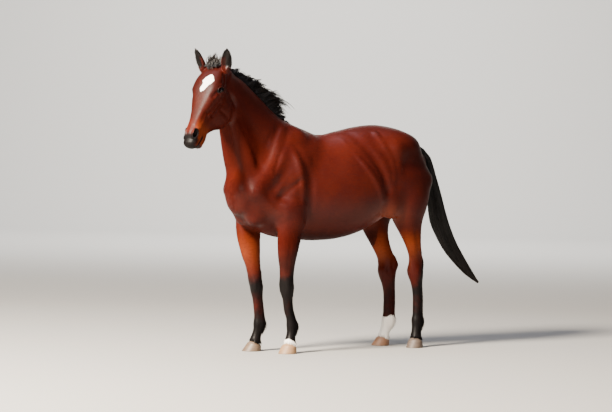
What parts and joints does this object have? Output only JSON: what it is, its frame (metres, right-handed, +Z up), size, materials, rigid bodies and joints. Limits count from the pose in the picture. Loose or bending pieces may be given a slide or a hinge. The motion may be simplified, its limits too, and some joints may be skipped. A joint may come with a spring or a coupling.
{
  "type": "horse",
  "caption": "Life-size still model of a bay riding horse standing square, its neck and head turned to its left, with black mane, tail and legs and a white star.",
  "frame": {"origin": "on the floor, under the middle of the animal's bounding box", "axes": "+X from nose to tail, the horse facing -X, its left side towards -Y, +Z up"},
  "size_m": [2.8239, 0.5941, 2.231],
  "materials": {
    "bay_coat": "short glossy red-brown coat",
    "black_points": "short black coat of the legs, ears and muzzle",
    "long_hair": "long coarse black hair",
    "pale_horn": "pale tan hoof horn with fine growth rings",
    "dark_horn": "grey-brown hoof horn with fine growth rings",
    "eye": "wet dark brown eye"
  },
  "bodies": {
    "root": {"head": "bay_coat", "neck": "bay_coat", "trunk": "bay_coat", "eye_left": "eye", "ear_left": "black_points", "eye_right": "eye", "ear_right": "black_points", "foreleg_left_forearm": "bay_coat", "foreleg_left_cannon": "black_points", "foreleg_left_hoof": "pale_horn", "foreleg_right_forearm": "bay_coat", "foreleg_right_cannon": "black_points", "foreleg_right_hoof": "dark_horn", "hindleg_left_gaskin": "bay_coat", "hindleg_left_cannon": "black_points", "hindleg_left_hoof": "dark_horn", "hindleg_right_gaskin": "bay_coat", "hindleg_right_cannon": "black_points", "hindleg_right_hoof": "pale_horn", "mane": "long_hair", "forelock": "long_hair", "tail": "long_hair"}
  },
  "joints": []
}
